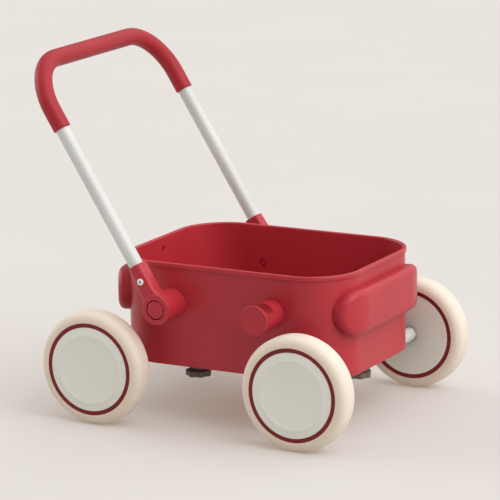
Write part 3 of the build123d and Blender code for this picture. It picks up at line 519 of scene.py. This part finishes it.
def facing(side):
    """Turn that brings the top of a piece out to a side."""
    return (-side * pi / 2, 0, 0)


def capped(name, x, side, z, seat_y, face_y, radius):
    """Small round-edged cap pressed over a screw's head, inside the tub's wall."""
    cap = rod(name, (x, side * seat_y, z), (x, side * face_y, z), radius, 40)
    shape(cap)
    pick("EDGE", lambda e: all(same(abs(v.co.y), face_y) for v in e.verts))
    round_off(0.0006, 4)
    done()
    smooth(cap)
    dress(cap, red, "body", "red_plastic")


for side_name, side in sides:
    hub = disc("hub_" + side_name, hub_radius, wall_side, hub_face, 96)
    shape(hub)
    pick("EDGE", edges_at(hub_face, wall_side))
    round_off(0.0005, 2)
    pick("FACE", faces_at(hub_face))
    draw((spigot_step, spigot_end - hub_face))
    pick("FACE", faces_at(wall_side))
    draw((recess_step, recess_depth))
    done()
    placed(hub, (pivot_x, 0, pivot_z), facing(side))
    smooth(hub)
    dress(hub, red, "body", "red_plastic", "pivot_hub_" + side_name)
    bolt_low, bolt_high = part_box("pivot_bolt_" + side_name)
    bolt = screw(
        "pivot_screw_" + side_name, (pivot_x, side * bolt_seat, pivot_z), (0, side, 0),
        head_radius=0.005, head_length=bolt_head, shank_radius=0.003,
        shank_length=bolt_high.y - bolt_low.y - bolt_head, drive=0.0029,
    )
    dress(bolt, steel, "body", "steel", "pivot_bolt_" + side_name)
    capped(
        "pivot_cap_" + side_name, pivot_x, side, pivot_z,
        seat_y=bolt_seat, face_y=0.1228, radius=0.0043,
    )

# ------------------------------------------------------------------ docking pegs
# Two red pegs hold the folded handle. Each is a short shaft with a flange, a channel across it that
# the tube drops into, and a shallow face inside a narrow rim.
half_handle, docked_rise, docked = 0.1593, 0.0129, radians(4.927)
peg_face, peg_radius, flange, flange_step = 0.174, 0.0195, 0.004, 0.0013
rim_width, rim_slope, face_drop = 0.0006, 0.0004, 0.0005
channel_half, channel_reach, channel_top = 0.0102, 0.04, 0.03
peg_screw_seat, recess_start, recess_end = 0.1264, 0.12, 0.1318
for side_name, side in sides:
    peg = disc("dock_" + side_name, peg_radius, peg_face - flange, peg_face, 96)
    shape(peg)
    pick("FACE", faces_at(peg_face - flange))
    draw((flange_step, wall_side - peg_face + flange))
    pick("EDGE", edges_at(peg_face))
    round_off(0.0012, 5)
    pick("FACE", faces_at(peg_face))
    draw((rim_width, 0), (rim_slope, -face_drop))
    pick("EDGE", edges_at(peg_face - flange))
    round_off(0.0004, 2)
    done()
    placed(peg, (peg_x, 0, peg_z), facing(side))
    channel = block(
        "channel", (-channel_reach, -channel_half, -channel_half),
        (channel_reach, channel_half, channel_top),
    )
    shape(channel)
    pick("EDGE", lambda e: (
        all(v.co.z < 0 for v in e.verts) and e.verts[0].co.y * e.verts[1].co.y > 0
    ))
    round_off(channel_half - 0.00001, 18)
    done()
    placed(channel, (peg_x, side * half_handle, pivot_z + docked_rise), (0, -docked, 0))
    combine(peg, channel)
    start, end = (peg_x, side * recess_start, peg_z), (peg_x, side * recess_end, peg_z)
    combine(peg, rod("recess", start, end, head_hole, 32))
    alone(peg)
    bpy.ops.object.modifier_add(type="BEVEL")
    edge = peg.modifiers[-1]
    edge.width, edge.segments, edge.use_clamp_overlap = 0.0004, 2, True
    edge.limit_method, edge.angle_limit = "ANGLE", radians(50)
    bpy.ops.object.modifier_apply(modifier=edge.name)
    smooth(peg)
    dress(peg, red, "body", "red_plastic", "peg_" + side_name)
    capped(
        "peg_cap_" + side_name, peg_x, side, peg_z,
        seat_y=peg_screw_seat, face_y=0.1219, radius=0.0052,
    )
peg_screws = joined("peg_screw_set", [
    screw(
        "peg_screw", (peg_x, side * peg_screw_seat, peg_z), (0, side, 0),
        head_radius=0.005, head_length=0.005, shank_radius=0.0025, shank_length=0.014, drive=0.0029,
    )
    for _, side in sides
])
dress(peg_screws, steel, "body", "steel", "peg_screws")

# ------------------------------------------------------------------ axle tubes
# Painted steel tube. The front axle is one straight tube; the rear one has two arms welded to it,
# which run forward under the tub and end in dark caps.
axle_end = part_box("front_axle_tube")[1].y
arm_end_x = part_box("rear_axle_frame")[1].x
cap_length = 0.002


def axle_tube(name, x):
    return rod(name, (x, -axle_end, axle_z), (x, axle_end, axle_z), tube_radius, 64)


front_tube = axle_tube("front_tube", front_axle_x)
smooth(front_tube)
rear_frame = axle_tube("rear_frame", rear_axle_x)
for y in (-arm_y, arm_y):
    # a hair thinner than the axle, so that the two round walls don't graze each other
    start, end = (rear_axle_x, y, axle_z), (arm_end_x, y, axle_z)
    combine(rear_frame, rod("arm", start, end, tube_radius - 0.00004, 60), "UNION")
smooth(rear_frame)


def painted(name, dark, light, rough):
    """Powder paint: faint orange peel under a smooth coat."""
    finish, shader = grained(
        name, dark, light, (14.0, 3.0), (90.0, 3.0), rough - 0.04, rough + 0.05, 520.0, 0.00002)
    shader.inputs["Coat Weight"].default_value = 0.25
    shader.inputs["Coat Roughness"].default_value = 0.25
    return finish


white = painted("white_powder_paint", (0.565, 0.575, 0.555), (0.60, 0.61, 0.59), 0.40)
dress(front_tube, white, "body", "white_paint", "front_axle_tube")
dress(rear_frame, white, "body", "white_paint", "rear_axle_frame")

caps = []
for y in (-arm_y, arm_y):
    cap_end_x = arm_end_x + cap_length
    cap = rod("cap", (arm_end_x, y, axle_z), (cap_end_x, y, axle_z), tube_radius, 48)
    shape(cap)
    pick("EDGE", lambda e: all(same(v.co.x, cap_end_x) for v in e.verts))
    round_off(0.0008, 3)
    done()
    caps.append(cap)
caps = joined("frame_caps", caps)
smooth(caps)
dark = moulded("dark_grey_plastic", (0.125, 0.103, 0.086), (0.155, 0.130, 0.110), 0.48)
dress(caps, dark, "body", "dark_plastic", "frame_arm_caps")

# ------------------------------------------------------------------ star knobs
# Three seven-lobed knobs under the tub clamp the axle tubes to it. Dark plastic, with soft edges
# and a round collar against the tube.
knob_low, knob_high, collar_high, collar_radius = 0.054, 0.062, 0.0654, 0.009
core_radius, lobe_count, lobe_radius, lobe_out = 0.0148, 7, 0.0048, 0.0124
for knob, (x, y) in knobs.items():
    star = disc("knob_" + knob, core_radius, knob_low, knob_high, 42, x, y)
    lobes = []
    for i in range(lobe_count):
        turn = 2 * pi * i / lobe_count
        lobe_x, lobe_y = x + lobe_out * cos(turn), y + lobe_out * sin(turn)
        lobes.append(disc("lobe", lobe_radius, knob_low, knob_high, 24, lobe_x, lobe_y))
    combine(star, joined("lobes", lobes), "UNION")
    shape(star)
    bpy.ops.mesh.select_all(action="SELECT")
    bpy.ops.mesh.dissolve_limited(angle_limit=radians(1))
    pick("EDGE", edges_at(knob_low, knob_high))
    round_off(0.0011, 4)
    done()
    collar = rod("collar", (x, y, knob_high - 0.0005), (x, y, collar_high), collar_radius, 40)
    combine(star, collar, "UNION")
    smooth(star)
    dress(star, dark, knob + "_knob", "dark_plastic", "star_knob_" + knob)

# ------------------------------------------------------------------ wheels
# A cream tyre on a dark red rim, and a pale cover pressed into each side. A wheel is modelled once,
# lying with its outer face up and its middle at the origin, and copied to the four corners.
half_width, shoulder, tyre_step = 0.0177, 0.0115, 0.0021
cover_radius, cover_thick, cover_wall = 0.0557, 0.006, 0.0015
rim_radius, rim_lip = 0.0614, 0.0056
web_half, web_edge, web_width, hub_wall = 0.002, 0.003, 0.0408, 0.0049


def bored():
    """Join the two end faces of the open piece into a bore."""
    pick("FACE", lambda f: len(f.verts) > 20)
    bpy.ops.mesh.delete(type="FACE")
    pick("EDGE", lambda e: e.is_boundary)
    bpy.ops.mesh.bridge_edge_loops()


tyre = disc("tyre", axle_z, -half_width, half_width, 144)
shape(tyre)
pick("EDGE", edges_at(half_width, -half_width))
round_off(shoulder, 12)
for up in (1, -1):
    pick("FACE", faces_at(up * half_width))
    draw((tyre_step, 0))
bored()
done()
smooth(tyre, 40)
sidewall_edge, sidewall_fade = 0.0735, 0.006
tint = tyre.data.color_attributes.new("sidewall", "FLOAT_COLOR", "POINT")
for point, shade in zip(tyre.data.vertices, tint.data):
    depth_in = (sidewall_edge - hypot(*point.co.xy)) / sidewall_fade
    on_side = abs(point.co.z) > half_width - shoulder + 0.0001
    amount = max(0.0, min(1.0, depth_in)) if on_side else 0.0
    shade.color = (amount, amount, amount, 1)

# Each side of the rim steps down to the cover's seat and the web, and up again to the hub
ring = disc("ring", rim_radius, -half_width, half_width, 120)
shape(ring)
for up, hub_end in ((1, 0.0093), (-1, 0.0139)):
    pick("FACE", faces_at(up * half_width))
    draw(
        (rim_lip, -up * cover_thick), (web_edge, up * (web_half - half_width + cover_thick)),
        (web_width, up * (hub_end - web_half)), (hub_wall, 0),
    )
bored()
pick("EDGE", edges_at(half_width, -half_width))
round_off(0.0005, 3)
done()
smooth(ring, 40)

# The outer cover rises over a band and a small step, and then sinks to a shallow dish
outer = disc("outer", cover_radius, half_width - cover_thick, half_width, 120)
shape(outer)
pick("FACE", faces_at(half_width))
for inward, rise in (
    (0.0050, 0.00034), (0.0026, 0.00020), (0.0013, 0.00050), (0.0013, 0.00014),
    (0.0014, -0.00022), (0.0028, -0.00062), (0.0050, -0.00070), (0.0080, -0.00070),
    (0.0100, -0.00040), (0.0120, -0.00015),
):
    bpy.ops.mesh.inset(thickness=inward, depth=rise)
pick("FACE", faces_at(half_width - cover_thick))
draw((cover_wall, 0.0028))
done()
smooth(outer, 40)

# The inner cover is flat, with a round hole for the axle
inner = disc("inner", cover_radius, -half_width, cover_thick - half_width, 120)
shape(inner)
pick("FACE", faces_at(-half_width))
draw((0.0455, 0))
pick("FACE", faces_at(cover_thick - half_width))
draw((cover_wall, -0.0042), (0.0440, 0))
bored()
pick("EDGE", edges_at(-half_width))
round_off(0.0004, 2)
done()
smooth(inner, 40)

cream = moulded(
    "cream_tyre_rubber", (0.705, 0.625, 0.535), (0.735, 0.655, 0.565), 0.58,
    grain=900.0, depth=0.00003, specular=0.22,
)
sidewall = cream.node_tree
band = sidewall.nodes.new("ShaderNodeVertexColor")
band.layer_name = "sidewall"
blend = sidewall.nodes.new("ShaderNodeMix")
blend.data_type = "RGBA"
blend.inputs["B"].default_value = (0.73, 0.62, 0.51, 1)
base = sidewall.nodes["Principled BSDF"].inputs["Base Color"]
sidewall.links.new(band.outputs["Color"], blend.inputs["Factor"])
sidewall.links.new(base.links[0].from_socket, blend.inputs["A"])
sidewall.links.new(blend.outputs["Result"], base)
pale = moulded("pale_cover_plastic", (0.705, 0.705, 0.64), (0.735, 0.735, 0.67), 0.38)
parts = (
    (tyre, cream, "cream_tyre", "tyre_"),
    (ring, dark_red, "dark_red_plastic", "rim_"),
    (outer, pale, "pale_plastic", "outer_cover_"),
    (inner, pale, "pale_plastic", "inner_cover_"),
)
wheel_inside = 0.153
for corner_name, axle_x, side in (
    ("front_left", front_axle_x, 1), ("front_right", front_axle_x, -1),
    ("rear_left", rear_axle_x, 1), ("rear_right", rear_axle_x, -1),
):
    for pattern, finish, slot, node in parts:
        alone(pattern)
        bpy.ops.object.duplicate(linked=False)
        copy = bpy.context.object
        copy.name = copy.data.name = "wheel_" + pattern.name + "_" + corner_name
        placed(copy, (axle_x, side * (wheel_inside + half_width), axle_z), facing(side))
        dress(copy, finish, "wheel_" + corner_name, slot, node + corner_name)
for pattern, *_ in parts:
    bpy.data.objects.remove(pattern)

# ------------------------------------------------------------------ handle tube and grip
# White painted tube bent to a wide U, and a red sleeve moulded round its top. Both are drawn up
# from one end with the handle upright, spun round the two bends, and then leaned back.
lean, reach, bend, bow_start = radians(31.9), 0.357, 0.067, 0.027
grip_radius, grip_start = 0.01175, 0.2636


def bent_bar(name, radius, start, vertices):
    bpy.ops.mesh.primitive_circle_add(
        vertices=vertices, radius=radius, fill_type="NGON", location=(0, half_handle, start))
    piece = added(name)
    shape(piece)
    bpy.ops.mesh.select_all(action="SELECT")
    leg, half_bar = reach - bend - start, half_handle - bend
    for travel, middle_y in (((0, 0, leg), half_bar), ((0, -2 * half_bar, 0), -half_bar)):
        bpy.ops.mesh.extrude_region_move(TRANSFORM_OT_translate={"value": travel})
        bpy.ops.mesh.spin(
            steps=28, angle=pi / 2, axis=(-1, 0, 0), center=(0, middle_y, reach - bend))
    bpy.ops.mesh.extrude_region_move(TRANSFORM_OT_translate={"value": (0, 0, -leg)})
    tightened()
    done()
    return piece


def leaned(piece):
    placed(piece, (pivot_x, 0, pivot_z), (0, -lean, 0))


tube = bent_bar("handle_bow", tube_radius, bow_start, 64)
leaned(tube)
smooth(tube, 40)
dress(tube, white, "handle", "white_paint", "handle_tube")

grip = bent_bar("handle_sleeve", grip_radius, grip_start, 72)
shape(grip)
pick("EDGE", edges_at(grip_start))
round_off(0.0016, 4)
done()
leaned(grip)
smooth(grip, 40)
grip_red = moulded(
    "red_grip_plastic", (0.325, 0.015, 0.024), (0.355, 0.018, 0.028), 0.44,
    grain=1100.0, depth=0.00003, specular=0.25,
)
dress(grip, grip_red, "handle", "red_grip", "handle_grip")

# ------------------------------------------------------------------ handle arms
# Red mouldings that join tube and pivot: a round head with the button's well, a waisted neck and a
# socket that turns from a soft square to nearly half-round at its mouth.
socket_half, arm_length, head_half = 0.0108, 0.063, 0.012
neck_low, neck_high, neck_wide, neck_round = 0.0128, 0.02552, 0.0154, 0.020
inner_round, outer_round, mouth_round = 0.0045, 0.005, 0.0104
bore_radius, bore_low, bore_high = tube_radius + 0.0001, 0.0255, 0.08
bearing_radius, well_radius, well_top = 0.00805, 0.0136, 0.1672
mouth_radius, past_arm = 0.0131, 0.19
clamp_seat, clamp_up, clamp_hole = 0.1693, 0.041, 0.0050


def section(width, at, side, outside):
    """Cross-section of an arm at a height up the tube, with the outer corners rounder."""
    bpy.ops.mesh.primitive_plane_add(size=1, location=(0, side * half_handle, at))
    bpy.context.object.scale = (width, 2 * socket_half, 1)
    piece = added("section")
    shape(piece)
    for edge_y, radius in (
        (half_handle + socket_half, outside), (half_handle - socket_half, inner_round)
    ):
        pick("VERT", lambda v: same(abs(v.co.x), width / 2) and same(abs(v.co.y), edge_y))
        bpy.ops.mesh.bevel(offset=radius, segments=8, affect="VERTICES", profile=0.5)
    bpy.ops.mesh.select_all(action="SELECT")
    bpy.ops.mesh.delete(type="ONLY_FACE")
    done()
    return piece


def neck_half(at):
    """Half the neck's width, where it flares towards the head."""
    if at > neck_high:
        return socket_half
    if at < neck_low:
        return neck_wide
    return socket_half + neck_round - sqrt(neck_round**2 - (neck_high - at) ** 2)


def headed(name, side, radius, low, high):
    """Disc round the pivot between two distances from the mid-plane."""
    return rod(name, (0, side * low, 0), (0, side * high, 0), radius, 96)


heights = [0.0, neck_low, 0.0145, 0.0165, 0.019, 0.022, 0.0255]
heights += [bow_start, 0.036, 0.045, 0.054, arm_length]
for side_name, side in sides:
    rings = []
    for at in heights:
        turn = max(0.0, (at - bow_start) / (arm_length - bow_start))
        outside = outer_round + (mouth_round - outer_round) * turn
        rings.append(section(2 * neck_half(at), at, side, outside))
    arm = joined("arm_" + side_name, rings)
    shape(arm)
    for low, high in zip(heights, heights[1:]):
        pick("EDGE", edges_at(low, high))
        bpy.ops.mesh.bridge_edge_loops(type="PAIRS")
    for at in (0.0, arm_length):
        pick("EDGE", edges_at(at))
        bpy.ops.mesh.edge_face_add()
    bpy.ops.mesh.select_all(action="SELECT")
    bpy.ops.mesh.normals_make_consistent(inside=False)
    pick("EDGE", edges_at(arm_length))
    round_off(0.0004, 2)
    done()
    start, end = (0, side * half_handle, bore_low), (0, side * half_handle, bore_high)
    combine(arm, rod("bore", start, end, bore_radius, 64))
    head = headed("head", side, hub_radius, half_handle - head_half, half_handle + head_half)
    shape(head)
    for at, radius in ((head_half, 0.0015), (-head_half, 0.0005)):
        pick("EDGE", lambda e: all(same(abs(v.co.y), half_handle + at) for v in e.verts))
        round_off(radius, 5)
    done()
    combine(arm, head, "UNION")
    combine(arm, headed("bearing", side, bearing_radius, 0.14, 0.16))
    combine(arm, headed("well", side, well_radius, well_floor, well_top))
    combine(arm, headed("mouth", side, mouth_radius, well_top - 0.0001, past_arm))
    start, end = (0, side * clamp_seat, clamp_up), (0, side * past_arm, clamp_up)
    combine(arm, rod("screw_seat", start, end, clamp_hole, 36))
    leaned(arm)
    smooth(arm)
    dress(arm, red, "handle", "red_plastic", "handle_arm_" + side_name)

# ------------------------------------------------------------------ clamp screws and buttons
# A pale round-edged screw holds the tube in each socket. The button is a flat red cap that fills
# the arm's well, with a thin dark gap round it.
clamp_radius, clamp_face, drive_radius, drive_half = 0.0045, 0.1713, 0.0018, 0.008
shank_step, shank_length = 0.0025, 0.008
button_radius, button_back, button_face, skirt, hollow = 0.0120, 0.1635, 0.1715, 0.0016, 0.0060
enamel = painted("white_screw_enamel", (0.78, 0.79, 0.76), (0.83, 0.84, 0.81), 0.30)
for side_name, side in sides:
    clamp = disc("socket_screw_" + side_name, clamp_radius, clamp_seat, clamp_face, 48)
    shape(clamp)
    pick("EDGE", edges_at(clamp_face))
    round_off(0.0012, 6)
    pick("FACE", faces_at(clamp_seat))
    draw((shank_step, -shank_length))
    done()
    combine(clamp, disc("drive", drive_radius, clamp_face - drive_half, clamp_face + drive_half, 6))
    placed(clamp, (0, 0, clamp_up), facing(side))
    leaned(clamp)
    smooth(clamp)
    dress(clamp, enamel, "handle", "white_plastic", "clamp_screw_" + side_name)

    button = disc("button_" + side_name, button_radius, button_back, button_face, 72)
    shape(button)
    pick("FACE", faces_at(button_back))
    draw((skirt, hollow))
    pick("EDGE", edges_at(button_face))
    round_off(0.0020, 6)
    done()
    placed(button, (pivot_x, 0, pivot_z), facing(side))
    smooth(button)
    dress(button, red, "button_" + side_name, "red_plastic", "release_button_" + side_name)

# ------------------------------------------------------------------ button springs
# A steel coil of four turns between washer and button.
spring_wire, spring_turns, button_travel, spare = 0.0006, 4, 0.0030, 0.00005
for side_name, side in sides:
    low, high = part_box("button_spring_" + side_name)
    inner, outer = sorted((abs(low.y), abs(high.y)))
    coil_length = outer - inner - 2 * spring_wire - 2 * spare
    coil_radius = (high.x - low.x) / 2 - spring_wire - spare
    bpy.ops.mesh.primitive_circle_add(
        vertices=10, radius=spring_wire, location=(coil_radius, 0, 0), rotation=(pi / 2, 0, 0))
    spring = added("button_coil_" + side_name)
    alone(spring)
    bpy.ops.object.modifier_add(type="SCREW")
    coil = spring.modifiers[-1]
    coil.steps = coil.render_steps = 36
    coil.iterations = spring_turns
    coil.screw_offset = coil_length / spring_turns
    bpy.ops.object.modifier_apply(modifier=coil.name)
    shape(spring)
    bpy.ops.mesh.select_all(action="SELECT")
    bpy.ops.mesh.fill_holes(sides=0)
    bpy.ops.mesh.normals_make_consistent(inside=False)
    done()
    start_y = side * (inner + spring_wire + spare)
    placed(spring, ((low.x + high.x) / 2, start_y, (low.z + high.z) / 2), facing(side))
    smooth(spring)
    dress(spring, steel, "handle", "steel", "button_spring_" + side_name)
    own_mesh(spring)

# ------------------------------------------------------------------ pieces hidden inside
# Nuts, studs, inserts, axle pins, bushes and tube plugs keep their own shapes and get their metals
# and plastics here.
brass = metal("turned_brass", (0.62, 0.42, 0.16), (0.74, 0.52, 0.22), 0.34)
bush_white = moulded("white_bush_plastic", (0.72, 0.71, 0.68), (0.78, 0.77, 0.74), 0.42)


def finish_node(finish, *names):
    for name in names:
        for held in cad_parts[name].material_slots:
            held.material = finish


finish_node(steel, "pivot_nut_left", "pivot_nut_right", "knob_stud_front", "knob_stud_left",
            "knob_stud_right", "front_axle_pins", "rear_axle_pins")
finish_node(brass, "threaded_inserts")
finish_node(bush_white, *[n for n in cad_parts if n.startswith("wheel_bush_")])
finish_node(dark, "front_tube_plugs", "rear_tube_plugs")

# ------------------------------------------------------------------ floor, light and camera
# A wide pale floor that fills the picture, a soft key light from above the wagon's front end, a
# second one low behind it, and a camera well back on its right side.
bpy.ops.mesh.primitive_plane_add(size=14)
studio = added("studio_floor")
backdrop, tree, shader, place = nodes_of("studio_paper")
paper_tones = ((0.3, 0.429, 0.437, 0.444), (0.7, 0.437, 0.445, 0.452))
tree.links.new(
    tones(tree, noise(tree, place, 3.0, 2.0), *paper_tones), shader.inputs["Base Color"])
shader.inputs["Emission Color"].default_value = (1.0, 0.78, 0.61, 1)
shader.inputs["Emission Strength"].default_value = 0.22
shader.inputs["Roughness"].default_value = 0.9
shader.inputs["Specular IOR Level"].default_value = 0.1
studio.data.materials.append(backdrop)

world = bpy.data.worlds.new("studio_air")
bpy.context.scene.world = world
world.use_nodes = True
air = world.node_tree.nodes["Background"]
air.inputs["Color"].default_value = (1.0, 0.985, 0.965, 1)
way = world.node_tree.nodes.new("ShaderNodeTexCoord").outputs["Generated"]
aim = world.node_tree.nodes.new("ShaderNodeVectorMath")
aim.operation = "DOT_PRODUCT"
aim.inputs[1].default_value = Vector((0.55, 0.30, 0.78)).normalized()
glow = world.node_tree.nodes.new("ShaderNodeMapRange")
glow.inputs["To Min"].default_value, glow.inputs["To Max"].default_value = 0.12, 1.60
world.node_tree.links.new(way, aim.inputs[0])
world.node_tree.links.new(aim.outputs["Value"], glow.inputs["Value"])
world.node_tree.links.new(glow.outputs["Result"], air.inputs["Strength"])


def soft_light(name, toward, strength, spread_angle, tint):
    """Broad even light that comes from the given direction."""
    bpy.ops.object.light_add(type="SUN", location=toward)
    lamp = bpy.context.object
    lamp.name = name
    lamp.data.energy, lamp.data.angle, lamp.data.color = strength, radians(spread_angle), tint
    lamp.rotation_euler = Vector(toward).to_track_quat("Z", "Y").to_euler()


soft_light("key_light", (0.74, -0.12, 0.66), 1.35, 50, (1.0, 0.985, 0.965))
soft_light("side_light", (-0.97, -0.08, 0.24), 2.00, 60, (1.0, 0.985, 0.965))

turn, tip, roll = radians(28.64848), radians(12.99575), radians(-0.89602)
camera_place = Vector((1.947659, -3.552987, 1.142328))
back = Vector((sin(turn) * cos(tip), -cos(turn) * cos(tip), sin(tip)))
right = (-back).cross(Vector((0, 0, 1))).normalized()
up = right.cross(-back)
rolled = Matrix((cos(roll) * right + sin(roll) * up, cos(roll) * up - sin(roll) * right, back))
bpy.ops.object.camera_add(location=(0, 0, 0))
camera = bpy.context.object
camera.matrix_world = Matrix.Translation(camera_place) @ rolled.transposed().to_4x4()
camera.data.sensor_width, camera.data.lens = 36, 226.84
camera.data.clip_start, camera.data.clip_end = 0.1, 60
bpy.context.scene.camera = camera
bpy.context.scene.view_settings.view_transform = "Standard"
